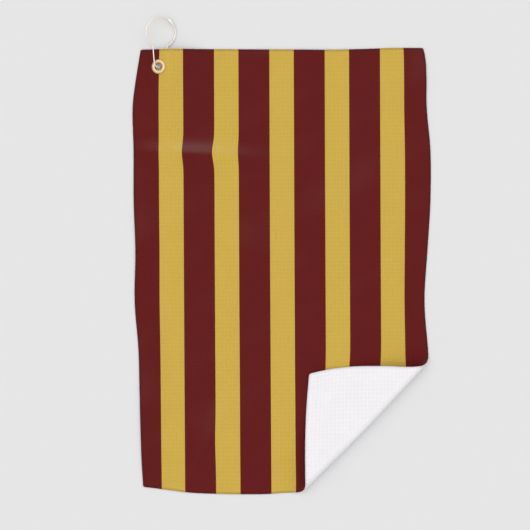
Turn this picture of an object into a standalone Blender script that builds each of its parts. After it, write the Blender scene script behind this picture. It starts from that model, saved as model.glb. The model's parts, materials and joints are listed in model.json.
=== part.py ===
"""A golf towel: a waffle cloth with one corner turned back, its overlocked edge, a two-part grommet
and a pear-shaped spring-gate ring that hangs through it. Metres, +Z up.

The towel lies face up with its length along Y and its ring at +Y. The origin is on the surface it
lies on, under the middle of the whole object."""

import math

import bmesh
import bpy
from mathutils import Matrix, Vector

GAP = 0.0003  # between pieces that touch
SHARP_FROM = math.radians(35)  # edges that turn more than this stay sharp

# Cloth, as it is cut. Its own axes start at its middle.
CLOTH_WIDTH = 0.4064
CLOTH_LENGTH = 0.6096
CLOTH_THICK = 0.0016
CLOTH_CORNER = 0.007
CORNER_STEPS = 3
CLOTH_CENTRE = Vector((-0.0003, -0.0225, 0.0))
EDGE_WIDTH = 0.0022

# How far each side edge lies inside (+) or outside (-) its cut line, by distance along the cloth.
LEFT_EDGE = (
    (-0.305, 0.012), (-0.11, 0.006), (0.0, 0.001), (0.12, -0.001), (0.235, -0.001), (0.305, 0.009),
)
RIGHT_EDGE = (
    (-0.12, 0.0), (-0.04, 0.006), (0.05, 0.001), (0.13, -0.002), (0.25, 0.003), (0.305, 0.0075),
)
EDGE_REACH = 0.063  # how far in from the edge the cloth is pushed

# The corner turned back. The fold line runs at FOLD_TURN from +X.
FOLD_TURN = math.radians(46.1)
FOLD_START = 0.2218  # from the cloth's middle to where it leaves the table
FOLD_RADIUS = 0.0085
FOLD_DROP = math.radians(12)  # slope of the flap down to the cloth
FLARE_RADIUS = 0.04  # the bend where the flap comes to lie flat
FLAP_REST = CLOTH_THICK + 0.0006
FLAP_SLIP = 0.0066  # how far the flap has slid along the fold at its tip
SLIP_SPREAD = 0.0692  # and how much further per metre along the fold
FLAP_PUSH = 0.0086  # how far its tip is pushed back towards the fold
PUSH_POWER = 4  # how steeply that grows towards the tip
TIP_LIFT = 0.004
TIP_REACH = 0.04

# The lines along which the lying cloth may bend: across and along it from its middle, across and
# along it from the grommet, and across the turned corner beyond its curl and before its tip
BENDS_X = (-0.05, 0.05, 0.14, 0.172)
BENDS_Y = (-0.2, -0.11, -0.055, 0.0, 0.055, 0.11, 0.17)
GROMMET_BENDS_X = (-0.023, -0.0115, 0.0115, 0.026, 0.042, 0.06)
GROMMET_BENDS_Y = (-0.064, -0.046, -0.029, -0.0115, 0.0115)
GROMMET_PUSH = 0.003  # how far the left edge's push has moved the cloth there
CURL_STEPS = 9
FLAP_BENDS = (0.03, 0.06, 0.067, 0.074)
TIP_BENDS = (0.75, 0.5, 0.25)  # as shares of the tip's reach
ON_PLANE = 1e-6  # how close to a line a vertex counts as on it
HOLE_CUT = 0.0064  # length of the cutter for the grommet's hole

# Grommet, in the upper left corner. It leans to the left, towards the ring's front leg.
GROMMET = Vector((-0.1690, 0.2814, 0.0057))
GROMMET_LEAN = math.radians(19)
GROMMET_STEPS = 32
HOLE_RADIUS = 0.0051
BARREL_WALL = 0.0005
# Section of the front's domed flange, outwards from the hole and up from the cloth
DOME = (
    (0.0, 0.0), (0.0003, 0.0005), (0.0010, 0.0009), (0.0021, 0.0010),
    (0.0037, 0.0008), (0.0047, 0.0004), (0.0049, 0.0001), (0.0048, 0.0),
)
# and of the barrel's rolled end, outwards from the hole and up from the washer's back
ROLL = (
    (0.0005, 0.0), (0.0019, 0.0), (0.0019, -0.0002), (0.0013, -0.0005),
    (0.0007, -0.0005), (0.0002, -0.0003), (0.0, 0.0002),
)
WASHER_RADIUS = 0.0096
WASHER_RIM = 0.0003  # height of its straight rim
WASHER_BEVEL = 0.0008
METAL_SHEET = 0.00065
FLAT_ROUND = 0.0125  # the cloth is flat this far each way from the grommet
LIFT_LEFT = 0.020  # from there it sinks to the table over these distances
LIFT_RIGHT = 0.060
LIFT_DOWN = 0.065

# Ring. Its own axes: X to its right, Y from the grommet to the round end, Z to its front.
WIRE = 0.0020
RING_CENTRE = Vector((-0.1660, 0.3281, 0.0082))
RING_HANG = GROMMET + Vector((0.0004, 0.0, -0.0005))  # where its long axis passes the grommet
RING_ROLL = math.radians(19)  # its left side is raised
ROUND_RADIUS = 0.02085
NECK_RADIUS = 0.007
NECK_BELOW = 0.0007  # how far its end lies past the grommet's centre
LEG_SPLAY = math.radians(8)
SHOULDER_RADIUS = 0.004
WIRE_SIDES = 12

# Gate, on the right of the round end. Angles are taken round the centre of that end.
PIN_AT = math.radians(50)
LATCH_AT = math.radians(-25)
PIN_RADIUS = 0.0005
PIN_PLAY = 0.0001
KNUCKLE_RADIUS = 0.0016
KNUCKLE_HEIGHT = 0.0026
CHEEK = 0.00045
EYE_RADIUS = 0.0014
EYE_LOW, EYE_HIGH = 0.00010, 0.00075
FORK_LENGTH = 0.0042
FORK_WIRE = 0.0032  # how far from the pin the wire ends inside the fork
SLOT_LENGTH = 0.006
NECK_LENGTH = 0.0034
LAP_LENGTH = 0.0016
NOSE_SPARE = math.radians(6)  # how far the two wires run past the latch before they are cut
TIP_SPARE = math.radians(10)
ZONE_SPREAD = math.radians(16)  # how far the cut reaches to each side of the wire, seen from the pin
NEAR_SHARE, FAR_SHARE = 0.4, 1.6  # where the cuts for the nose and the tip end, of the way to the latch

# Spring, round the pin beside the gate's eye
SPRING_WIRE = 0.00022
SPRING_RADIUS = 0.0009
SPRING_TURNS = 2.5
SPRING_STEPS = 16  # in a turn
SPRING_PITCH = 0.00025
SPRING_LOW = -0.00075
SPRING_TAIL = 0.0011

# Colour, roughness and metallic of each material
FINISHES = {
    "waffle_cloth": ((0.130, 0.012, 0.012), 0.9, 0.0),
    "edge_thread": ((0.110, 0.010, 0.010), 0.8, 0.0),
    "brass": ((0.87, 0.66, 0.30), 0.22, 1.0),
    "light_gold": ((0.94, 0.85, 0.72), 0.18, 1.0),
    "spring_steel": ((0.62, 0.60, 0.56), 0.3, 1.0),
}


def material(name):
    colour, roughness, metallic = FINISHES[name]
    mat = bpy.data.materials.new(name)
    mat.use_nodes = True
    shader = mat.node_tree.nodes["Principled BSDF"]
    shader.inputs["Base Color"].default_value = (*colour, 1.0)
    shader.inputs["Roughness"].default_value = roughness
    shader.inputs["Metallic"].default_value = metallic
    return mat


def new_object(name, bm, mat, matrix=None):
    bmesh.ops.recalc_face_normals(bm, faces=bm.faces)
    mesh = bpy.data.meshes.new(name)
    bm.to_mesh(mesh)
    bm.free()
    if mat:
        mesh.materials.append(mat)
    ob = bpy.data.objects.new(name, mesh)
    bpy.context.scene.collection.objects.link(ob)
    if matrix:
        ob.matrix_world = matrix
    return ob


def smooth(ob):
    ob.data.shade_smooth()
    ob.data.set_sharp_from_angle(angle=SHARP_FROM)


def boolean(ob, other, operation):
    """Adds a Boolean with another object, which is then only a cutter or a guide."""
    other.hide_render = True
    other.display_type = "WIRE"
    mod = ob.modifiers.new(other.name, "BOOLEAN")
    mod.operation = operation
    mod.object = other


def ease(t):
    """0 to 1 as t goes from 0 to 1, level at both ends."""
    t = min(max(t, 0.0), 1.0)
    return t * t * (3 - 2 * t)


def along(stations, at):
    """Reads a smooth curve through (place, value) stations."""
    if at <= stations[0][0]:
        return stations[0][1]
    for (a, low), (b, high) in zip(stations, stations[1:]):
        if at <= b:
            return low + (high - low) * ease((at - a) / (b - a))
    return stations[-1][1]


# ---------------------------------------------------------------- cloth


def side_shift(u, v):
    """How far the lying cloth is pushed sideways from its cut shape."""
    inward = ease((abs(u) - (CLOTH_WIDTH / 2 - EDGE_REACH)) / EDGE_REACH)
    if u < 0:
        return along(LEFT_EDGE, v) * inward
    return -along(RIGHT_EDGE, v) * inward


def corner_lift(x, y):
    """Height of the cloth's middle surface where the ring's back leg holds it up."""
    p = x - GROMMET.x
    q = y - GROMMET.y
    flat = min(max(p, -FLAT_ROUND), FLAT_ROUND)
    height = GROMMET.z + flat * math.tan(GROMMET_LEAN) - CLOTH_THICK / 2
    side = LIFT_RIGHT if p > 0 else LIFT_LEFT
    fade = 1 - ease((abs(p) - FLAT_ROUND) / side)
    fade *= 1 - ease((-q - FLAT_ROUND) / LIFT_DOWN)
    return height * fade


def fold_section(s):
    """The turned corner in section, s along the cloth from where it leaves the table: how far
    that has gone across the fold line and how high it is."""
    turn = math.pi + FOLD_DROP
    curl = FOLD_RADIUS * turn
    flare = FLARE_RADIUS * FOLD_DROP
    top = FOLD_RADIUS * (1 + math.cos(FOLD_DROP))
    drop = top - FLAP_REST - FLARE_RADIUS * (1 - math.cos(FOLD_DROP))
    slope = drop / math.sin(FOLD_DROP)
    if s <= curl:
        return FOLD_RADIUS * math.sin(s / FOLD_RADIUS), FOLD_RADIUS * (1 - math.cos(s / FOLD_RADIUS))
    across = -FOLD_RADIUS * math.sin(FOLD_DROP)
    if s <= curl + slope:
        down = s - curl
        return across - down * math.cos(FOLD_DROP), top - down * math.sin(FOLD_DROP)
    across -= slope * math.cos(FOLD_DROP)
    if s <= curl + slope + flare:
        left = FOLD_DROP - (s - curl - slope) / FLARE_RADIUS
        across -= FLARE_RADIUS * (math.sin(FOLD_DROP) - math.sin(left))
        return across, FLAP_REST + FLARE_RADIUS * (1 - math.cos(left))
    across -= FLARE_RADIUS * math.sin(FOLD_DROP)
    return across - (s - curl - slope - flare), FLAP_REST


FOLD_ALONG = Vector((math.cos(FOLD_TURN), math.sin(FOLD_TURN)))
FOLD_ACROSS = Vector((math.sin(FOLD_TURN), -math.cos(FOLD_TURN)))
CORNER = Vector((CLOTH_WIDTH / 2, -CLOTH_LENGTH / 2))
CORNER_S = CORNER.dot(FOLD_ACROSS) - FOLD_START


def lay(u, v):
    """Where a point of the cut cloth lies, on its middle surface."""
    flat = Vector((u + side_shift(u, v), v))
    s = flat.dot(FOLD_ACROSS) - FOLD_START
    if s <= 0:
        return Vector((flat.x, flat.y, CLOTH_THICK / 2 + corner_lift(flat.x, flat.y)))
    across, height = fold_section(s)
    down = flat.dot(FOLD_ALONG)
    beside = down - CORNER.dot(FOLD_ALONG)
    far = s / CORNER_S
    down += far * (FLAP_SLIP + SLIP_SPREAD * beside)
    across += FLAP_PUSH * far**PUSH_POWER
    height += TIP_LIFT * ease((s - CORNER_S + TIP_REACH) / TIP_REACH)
    place = FOLD_ALONG * down + FOLD_ACROSS * (FOLD_START + across)
    return Vector((place.x, place.y, CLOTH_THICK / 2 + height))


def outline(bm, inset):
    """A closed loop of vertices round the cut cloth, this far inside its edge."""
    half_x = CLOTH_WIDTH / 2 - CLOTH_CORNER
    half_y = CLOTH_LENGTH / 2 - CLOTH_CORNER
    radius = CLOTH_CORNER - inset
    loop = []
    for quarter, (sx, sy) in enumerate(((1, 1), (-1, 1), (-1, -1), (1, -1))):
        for step in range(CORNER_STEPS + 1):
            angle = (quarter + step / CORNER_STEPS) * math.pi / 2
            at = (sx * half_x + radius * math.cos(angle), sy * half_y + radius * math.sin(angle), 0)
            loop.append(bm.verts.new(at))
    return loop


def crease_lines():
    """The lines, as (point, normal) in the cut cloth, along which the lying cloth may bend."""
    along_x, along_y = Vector((1, 0, 0)), Vector((0, 1, 0))
    places_x = [*BENDS_X, *(GROMMET.x - GROMMET_PUSH + p for p in GROMMET_BENDS_X)]
    places_y = [*BENDS_Y, *(GROMMET.y + q for q in GROMMET_BENDS_Y)]
    lines = [(along_x * place, along_x) for place in places_x]
    lines += [(along_y * place, along_y) for place in places_y]
    curl = FOLD_RADIUS * (math.pi + FOLD_DROP)
    bends = [curl * step / CURL_STEPS for step in range(CURL_STEPS + 1)]
    bends += [curl + s for s in FLAP_BENDS]
    bends += [CORNER_S - TIP_REACH * part for part in TIP_BENDS]
    across = FOLD_ACROSS.to_3d()
    lines += [(across * (FOLD_START + s), across) for s in bends]
    return lines


def lay_sheet(bm):
    """Cuts a flat sheet along the crease lines and lays it out."""
    for point, normal in crease_lines():
        geometry = bm.verts[:] + bm.edges[:] + bm.faces[:]
        bmesh.ops.bisect_plane(bm, geom=geometry, plane_co=point, plane_no=normal, dist=ON_PLANE)
    bmesh.ops.triangulate(bm, faces=bm.faces)
    for vert in bm.verts:
        vert.co = lay(vert.co.x, vert.co.y)


def thicken(ob):
    mod = ob.modifiers.new("Thickness", "SOLIDIFY")
    mod.thickness = CLOTH_THICK
    mod.offset = 0
    mod.use_even_offset = True


def make_cloth(mat):
    bm = bmesh.new()
    bm.faces.new(outline(bm, EDGE_WIDTH + GAP))
    lay_sheet(bm)
    cloth = new_object("towel_cloth", bm, mat, Matrix.Translation(CLOTH_CENTRE))
    thicken(cloth)
    bm = bmesh.new()
    radius = HOLE_RADIUS + BARREL_WALL + GAP
    bmesh.ops.create_cone(
        bm, cap_ends=True, segments=GROMMET_STEPS, radius1=radius, radius2=radius, depth=HOLE_CUT
    )
    boolean(cloth, new_object("grommet_hole", bm, None, grommet_matrix()), "DIFFERENCE")


def make_edge(mat):
    bm = bmesh.new()
    outer = outline(bm, 0)
    inner = outline(bm, EDGE_WIDTH)
    for at in range(len(outer)):
        after = (at + 1) % len(outer)
        bm.faces.new((outer[at], outer[after], inner[after], inner[at]))
    lay_sheet(bm)
    thicken(new_object("edge_stitching", bm, mat, Matrix.Translation(CLOTH_CENTRE)))


# ---------------------------------------------------------------- grommet


def grommet_matrix():
    return Matrix.Translation(CLOTH_CENTRE + GROMMET) @ Matrix.Rotation(-GROMMET_LEAN, 4, "Y")


def turned(name, profile, mat):
    """A ring turned from a closed (radius, height) profile."""
    bm = bmesh.new()
    verts = [bm.verts.new((radius, 0, height)) for radius, height in profile]
    edges = [bm.edges.new((a, b)) for a, b in zip(verts, verts[1:] + verts[:1])]
    bmesh.ops.spin(
        bm, geom=edges, cent=(0, 0, 0), axis=(0, 0, 1), angle=math.tau, steps=GROMMET_STEPS, use_merge=True
    )
    smooth(new_object(name, bm, mat, grommet_matrix()))


def make_grommet(mat):
    """The eyelet's flange is on the face; its barrel is rolled out under the washer behind."""
    face = CLOTH_THICK / 2 + GAP
    washer_back = face + METAL_SHEET
    lip = washer_back + GAP
    barrel = HOLE_RADIUS + BARREL_WALL
    eyelet = [(HOLE_RADIUS + outwards, face + up) for outwards, up in DOME]
    eyelet += [(barrel, face)]
    eyelet += [(HOLE_RADIUS + outwards, up - lip) for outwards, up in ROLL]
    turned("grommet_eyelet", eyelet, mat)
    washer = [
        (barrel + GAP, -face),
        (WASHER_RADIUS, -face),
        (WASHER_RADIUS, -face - WASHER_RIM),
        (WASHER_RADIUS - WASHER_BEVEL, -washer_back),
        (barrel + GAP, -washer_back),
    ]
    turned("grommet_washer", washer, mat)


# ---------------------------------------------------------------- ring


ROUND_Y = (RING_CENTRE - RING_HANG).length


def ring_matrix():
    """The ring's axes, with their origin in the grommet."""
    y_axis = (RING_CENTRE - RING_HANG).normalized()
    level = y_axis.cross(Vector((0, 0, 1))).normalized()
    up = level.cross(y_axis)
    x_axis = level * math.cos(RING_ROLL) - up * math.sin(RING_ROLL)
    z_axis = level * math.sin(RING_ROLL) + up * math.cos(RING_ROLL)
    axes = Matrix((x_axis, y_axis, z_axis)).transposed().to_4x4()
    return Matrix.Translation(CLOTH_CENTRE + RING_HANG) @ axes


def on_round(angle):
    return Vector((ROUND_RADIUS * math.cos(angle), ROUND_Y + ROUND_RADIUS * math.sin(angle), 0))


def arc(centre, radius, start, end, steps):
    turns = [start + (end - start) * i / steps for i in range(steps + 1)]
    return [centre + radius * Vector((math.cos(t), math.sin(t), 0)) for t in turns]


def right_leg():
    """The ring's middle line from its lowest point to where it joins the round end on the right,
    and the angle of that place round the end."""
    neck = Vector((0, NECK_RADIUS - NECK_BELOW, 0))
    points = arc(neck, NECK_RADIUS, -math.pi / 2, -LEG_SPLAY, 7)
    up = Vector((math.sin(LEG_SPLAY), math.cos(LEG_SPLAY), 0))
    out = Vector((up.y, -up.x, 0))
    # The shoulder's arc touches the leg from outside and the round end from outside.
    start = points[-1] + out * SHOULDER_RADIUS - Vector((0, ROUND_Y, 0))
    reach = ROUND_RADIUS + SHOULDER_RADIUS
    middle = start.dot(up)
    length = -middle - math.sqrt(middle**2 - start.length_squared + reach**2)
    shoulder = points[-1] + up * length + out * SHOULDER_RADIUS
    to_round = shoulder - Vector((0, ROUND_Y, 0))
    angle = math.atan2(to_round.y, to_round.x)
    points += arc(shoulder, SHOULDER_RADIUS, math.pi - LEG_SPLAY, angle + math.pi, 4)
    return points, angle


def wire(path):
    """The ring's wire along points in its plane, closed at both ends."""
    bm = bmesh.new()
    rings = []
    for at, point in enumerate(path):
        before = path[max(at - 1, 0)]
        after = path[min(at + 1, len(path) - 1)]
        ahead = (after - before).normalized()
        side = Vector((ahead.y, -ahead.x, 0))
        turns = [math.tau * i / WIRE_SIDES for i in range(WIRE_SIDES)]
        round_it = [side * math.cos(t) + Vector((0, 0, math.sin(t))) for t in turns]
        rings.append([bm.verts.new(point + WIRE / 2 * out) for out in round_it])
    for a, b in zip(rings, rings[1:]):
        for i in range(WIRE_SIDES):
            j = (i + 1) % WIRE_SIDES
            bm.faces.new((a[i], a[j], b[j], b[i]))
    bm.faces.new(rings[0][::-1])
    bm.faces.new(rings[-1])
    return bm


def plate(name, points, low, high, mat=None):
    """A flat plate of this outline in the ring's plane, between two heights."""
    bm = bmesh.new()
    face = bm.faces.new([bm.verts.new((p.x, p.y, low)) for p in points])
    grown = bmesh.ops.extrude_face_region(bm, geom=[face])["geom"]
    raised = [item for item in grown if isinstance(item, bmesh.types.BMVert)]
    bmesh.ops.translate(bm, vec=(0, 0, high - low), verts=raised)
    return new_object(name, bm, mat, ring_matrix())


def rod(name, centre, radius, low, high, mat=None, steps=24):
    return plate(name, arc(centre, radius, 0, math.tau * (1 - 1 / steps), steps - 1), low, high, mat)


def tab(centre, ahead, length, half_width, steps=8):
    """An outline with a round end about the centre, drawn out this far ahead."""
    turn = math.atan2(ahead.y, ahead.x)
    side = Vector((-ahead.y, ahead.x, 0)) * half_width
    round_end = arc(centre, half_width, turn + math.pi / 2, turn + 3 * math.pi / 2, steps)
    return round_end + [centre + ahead * length - side, centre + ahead * length + side]


def latch_zone(clear, beyond):
    """Outline of what lies before the gate's tip, or beyond it. The edge where they meet is struck
    from the pin, grown by this clearance, and steps along the wire's middle to lap behind the nose.
    The other side of the outline is at the share `beyond` of the way out from the pin."""
    pin = on_round(PIN_AT)
    latch = on_round(LATCH_AT)
    short = (latch - pin).length + clear
    long = short + LAP_LENGTH
    heading = math.atan2(latch.y - pin.y, latch.x - pin.x)
    centre = Vector((0, ROUND_Y, 0))
    step_radius = ROUND_RADIUS + (clear - GAP / 2)

    def crossing(reach):
        """The angle about the pin at which this reach meets the step's circle."""
        to_centre = centre - pin
        apart = to_centre.length
        bend = math.acos((apart**2 + reach**2 - step_radius**2) / (2 * apart * reach))
        return math.atan2(to_centre.y, to_centre.x) + bend

    outer = arc(pin, short, heading + ZONE_SPREAD, crossing(short), 6)
    inner = arc(pin, long, crossing(long), heading - ZONE_SPREAD, 6)
    return outer + inner + [pin + (inner[-1] - pin) * beyond, pin + (outer[0] - pin) * beyond]


def make_ring_body(mat):
    """The wire from the gate's pin over the top, down the front leg, through the grommet and up the
    back leg to the nose that the gate shuts against."""
    leg, joins_at = right_leg()
    left_leg = [Vector((-p.x, p.y, 0)) for p in leg]
    ahead = Vector((-math.sin(PIN_AT), math.cos(PIN_AT), 0))
    fork_root = PIN_AT + FORK_WIRE / ROUND_RADIUS
    middle = Vector((0, ROUND_Y, 0))
    path = arc(middle, ROUND_RADIUS, fork_root, math.pi - joins_at, 30)
    path += left_leg[-2::-1] + leg[1:]
    path += arc(middle, ROUND_RADIUS, joins_at, LATCH_AT + NOSE_SPARE, 6)[1:]
    body = new_object("ring_body", wire(path), mat, ring_matrix())
    high = KNUCKLE_HEIGHT / 2
    slot = high - CHEEK
    pin = on_round(PIN_AT)
    fork = plate("fork", tab(pin, ahead, FORK_LENGTH, KNUCKLE_RADIUS), -high, high)
    boolean(body, fork, "UNION")
    room = KNUCKLE_RADIUS + GAP
    boolean(body, plate("fork_slot", tab(pin, -ahead, SLOT_LENGTH, room), -slot, slot), "DIFFERENCE")
    boolean(body, rod("pin_hole", pin, PIN_RADIUS + PIN_PLAY, -2 * high, 2 * high), "DIFFERENCE")
    boolean(body, plate("nose_cut", latch_zone(GAP, NEAR_SHARE), -WIRE, WIRE), "DIFFERENCE")
    smooth(body)


def make_gate(mat):
    """The wire from the eye on the pin to the tip that laps behind the nose. It opens inwards."""
    pin = on_round(PIN_AT)
    ahead = Vector((math.sin(PIN_AT), -math.cos(PIN_AT), 0))
    start = PIN_AT - (KNUCKLE_RADIUS + 2 * GAP) / ROUND_RADIUS
    path = arc(Vector((0, ROUND_Y, 0)), ROUND_RADIUS, start, LATCH_AT - TIP_SPARE, 18)
    bm = wire(path)
    hinge = ring_matrix() @ Matrix.Translation(pin)
    bmesh.ops.translate(bm, vec=-pin, verts=bm.verts)
    gate = new_object("ring_gate", bm, mat, hinge)
    boolean(gate, plate("tip_cut", latch_zone(0, FAR_SHARE), -WIRE, WIRE), "DIFFERENCE")
    boolean(gate, plate("gate_eye", tab(pin, ahead, NECK_LENGTH, EYE_RADIUS), EYE_LOW, EYE_HIGH), "UNION")
    boolean(gate, rod("eye_hole", pin, PIN_RADIUS + PIN_PLAY, -WIRE, WIRE), "DIFFERENCE")
    smooth(gate)


def make_pin(mat):
    high = KNUCKLE_HEIGHT / 2
    pin = rod("gate_pin", on_round(PIN_AT), PIN_RADIUS, -high, high, mat, steps=20)
    smooth(pin)


def make_spring(mat):
    """A torsion coil round the pin with a straight tail at each end."""
    centre = on_round(PIN_AT)
    steps = round(SPRING_TURNS * SPRING_STEPS)
    bottom = SPRING_LOW + SPRING_WIRE / 2
    start = PIN_AT - math.pi / 4
    coil = []
    for i in range(steps + 1):
        turn = math.tau * SPRING_TURNS * i / steps
        at = Vector((math.cos(start + turn), math.sin(start + turn), 0)) * SPRING_RADIUS
        coil.append(centre + at + Vector((0, 0, bottom + SPRING_PITCH * turn / math.tau)))
    first = (coil[0] - coil[1]).normalized()
    last = (coil[-1] - coil[-2]).normalized()
    points = [coil[0] + first * SPRING_TAIL, *coil, coil[-1] + last * SPRING_TAIL]
    curve = bpy.data.curves.new("gate_spring", "CURVE")
    curve.dimensions = "3D"
    curve.bevel_depth = SPRING_WIRE / 2
    curve.bevel_resolution = 1
    curve.use_fill_caps = True
    curve.render_resolution_u = 0
    spline = curve.splines.new("POLY")
    spline.points.add(len(points) - 1)
    for slot, point in zip(spline.points, points):
        slot.co = (*point, 1)
    curve.materials.append(mat)
    spring = bpy.data.objects.new("gate_spring", curve)
    bpy.context.scene.collection.objects.link(spring)
    spring.matrix_world = ring_matrix()


def main():
    for ob in list(bpy.data.objects):
        bpy.data.objects.remove(ob)
    make_cloth(material("waffle_cloth"))
    make_edge(material("edge_thread"))
    make_grommet(material("brass"))
    gold = material("light_gold")
    make_ring_body(gold)
    make_gate(gold)
    make_pin(gold)
    make_spring(material("spring_steel"))
    bpy.context.view_layer.update()


main()
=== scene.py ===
"""The golf towel's looks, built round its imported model: a printed waffle cloth with one corner turned
back, the overlocked edge with its three threads, a domed brass grommet and a pear-shaped gate ring.

The cloth is worked out in three steps. Its cut shape has (u, v) in metres from its middle. slide()
gives where a point has moved to in the plane as the cloth was laid down, and rise() lifts that on
to the fold, the swells and the place where the ring holds it up. Everything is in metres, +Z up."""

import json
import math

import bmesh
import bpy
import numpy as np
from mathutils import Matrix, Vector


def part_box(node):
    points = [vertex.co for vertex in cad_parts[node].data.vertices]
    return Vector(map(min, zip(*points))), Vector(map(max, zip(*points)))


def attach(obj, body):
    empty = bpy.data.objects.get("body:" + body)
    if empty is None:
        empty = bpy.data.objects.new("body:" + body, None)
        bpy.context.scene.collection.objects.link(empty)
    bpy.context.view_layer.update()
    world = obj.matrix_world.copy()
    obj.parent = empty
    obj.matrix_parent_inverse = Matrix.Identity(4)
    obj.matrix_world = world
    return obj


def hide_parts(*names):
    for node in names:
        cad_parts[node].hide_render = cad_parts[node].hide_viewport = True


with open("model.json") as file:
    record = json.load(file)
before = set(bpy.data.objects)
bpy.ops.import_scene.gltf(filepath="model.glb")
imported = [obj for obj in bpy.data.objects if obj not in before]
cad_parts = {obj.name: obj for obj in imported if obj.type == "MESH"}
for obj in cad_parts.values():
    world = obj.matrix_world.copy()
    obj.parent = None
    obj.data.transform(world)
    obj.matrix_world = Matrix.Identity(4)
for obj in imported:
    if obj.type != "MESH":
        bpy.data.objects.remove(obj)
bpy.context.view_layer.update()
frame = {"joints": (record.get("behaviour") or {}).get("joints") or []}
joints = {joint["name"]: joint for joint in frame["joints"]}

# Cloth, as it is cut
WIDTH = 0.4064
LENGTH = 0.6096
THICK = 0.0016
CORNER_RADIUS = 0.0028
CELL = WIDTH / 76  # one waffle cell
RIDGE_FOOT = 0.24  # a ridge slopes down over this share of a cell on each side
CELL_DEPTH = 0.00056  # of a cell's floor below the ridges along the cloth, on each side
CROSS_DIP = 0.5  # the ridges across the cloth lie this share of that depth lower
YARN = 0.00030  # from one yarn of the weave to the next
PAINTED_SHEEN = 0.22  # share of white painted on as sheen where the cloth slopes 45 degrees towards the light at the top
SEAM_WIDTH = 0.0026  # the edge that the overlock threads cross
SEAM_HALF = 0.00033  # half the cloth's thickness there
SEAM_SPREAD = 0.0016  # the cloth thins to that over this distance
CLAMPED_HALF = 0.00062  # half its thickness under the grommet
CLAMPED_SPREAD = 0.0025
LAST_LINE = 0.0006  # grid lines nearer to the cut edge than this are left out

# Print: gold stripes on maroon, one of them down the middle
STRIPE_PITCH = 0.0762
STRIPE_WIDTH = 0.0335

# How far each side edge lies inside (+) or outside (-) its cut line, by distance along the cloth
LEFT_EDGE = (
    (-0.305, 0.0125), (-0.262, 0.0103), (-0.220, 0.0089), (-0.160, 0.0075), (-0.110, 0.0061),
    (-0.041, 0.0008), (0.028, 0.0018), (0.097, -0.0006), (0.166, -0.0007), (0.235, -0.0014),
    (0.2625, 0.0022), (0.305, 0.0092),
)
RIGHT_EDGE = (
    (-0.125, 0.0), (-0.110, 0.0010), (-0.041, 0.0060), (0.028, 0.0020), (0.097, -0.0021),
    (0.166, -0.0021), (0.235, 0.0034), (0.2625, 0.0034), (0.290, 0.0048), (0.305, 0.0078),
)
EDGE_REACH = 0.045  # how far in from the edge the cloth is pushed
# How far the bottom edge lies above its cut line, by distance across the cloth
BOTTOM_EDGE = (
    (-0.203, 0.0078), (-0.166, 0.0044), (-0.130, 0.0), (-0.090, -0.0018), (-0.010, -0.0018),
    (0.030, 0.0),
)
# and the top edge
TOP_EDGE = (
    (-0.203, 0.0008), (-0.180, 0.0010), (-0.140, 0.0014), (0.0, 0.0010), (0.080, 0.0009),
    (0.115, 0.0018), (0.150, 0.0030), (0.203, 0.0030),
)
END_REACH = 0.060
# How far all the stripes have drifted to the right, by distance along the cloth
DRIFT = ((-0.305, 0.0030), (0.0, 0.0012), (0.305, 0.0))

# The corner turned back. The fold line runs at FOLD_TURN from +X.
FOLD_TURN = math.radians(46.1)
FOLD_START = 0.2218  # from the cloth's middle to where it leaves the table
FOLD_RADIUS = 0.0085
FOLD_DROP = math.radians(12)  # slope of the flap down to the cloth
FLARE_RADIUS = 0.04  # the bend where the flap comes to lie flat
FLAP_REST = THICK + 0.0006
FOLD_BULGE = 0.0026  # how far the fold bows outwards at its middle
FOLD_SPREAD = 0.03  # what only the lying or only the turned cloth does fades over this distance
LEAST_SPAN = 0.001  # the turned cloth's least width, which keeps its tip from being divided by 0
TINY = 1e-9
# How far the flap has slid up the fold line and been pushed back towards it, by how far out on the
# flap (0 at the fold, 1 at the corner), along what was the cloth's right edge and its bottom edge
RIGHT_SLIP = (
    (0.0, 0.0), (0.2, 0.0002), (0.42, 0.0034), (0.7, 0.0062), (0.85, 0.0057), (1.0, 0.0036),
)
RIGHT_PUSH = (
    (0.0, 0.0), (0.08, 0.0), (0.22, 0.0032), (0.45, 0.0026), (0.7, 0.0036), (0.85, 0.0063),
    (1.0, 0.0112),
)
BOTTOM_SLIP = ((0.0, 0.0), (0.2, 0.0006), (0.5, 0.0004), (0.75, 0.0013), (1.0, 0.0036))
BOTTOM_PUSH = ((0.0, 0.0), (0.2, 0.0001), (0.45, 0.0020), (0.7, 0.0052), (1.0, 0.0112))
TIP_LIFT = 0.002
TIP_REACH = 0.04  # how far back from the tip it starts to lift

# Soft swells of the lying cloth: middle, turn of the long axis, half length, half width, height
SWELLS = (
    ((-0.118, 0.1615), math.radians(-3), 0.060, 0.0115, 0.0022),
    ((-0.095, -0.232), math.radians(70), 0.050, 0.014, 0.0011),
    ((0.015, -0.185), math.radians(95), 0.045, 0.012, 0.0008),
    ((-0.200, 0.030), math.radians(88), 0.060, 0.022, 0.0011),
    ((-0.196, -0.200), math.radians(92), 0.070, 0.020, 0.0014),
    ((0.200, -0.035), math.radians(90), 0.050, 0.024, 0.0016),
    ((0.196, 0.265), math.radians(60), 0.045, 0.026, 0.0014),
    ((0.030, 0.300), math.radians(4), 0.090, 0.022, 0.0009),
    ((0.090, 0.090), math.radians(35), 0.090, 0.030, 0.0007),
    ((-0.030, 0.020), math.radians(-25), 0.080, 0.028, 0.0006),
)
# The faint ripples between them: height, and each wave's radians a metre across and along, and phase
RIPPLE = 0.00008
RIPPLE_WAVES = ((97, 31, 1.0), (-41, 83, 2.5))
GROMMET_CLEAR = 0.045  # there are no swells or ripples this near the grommet
GROMMET_SPREAD = 0.05  # and they grow to their height over this distance
FLAP_CLEAR = 0.034  # nor under the flap, from this far inside its tip
FLAP_SPREAD = 0.04
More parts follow.
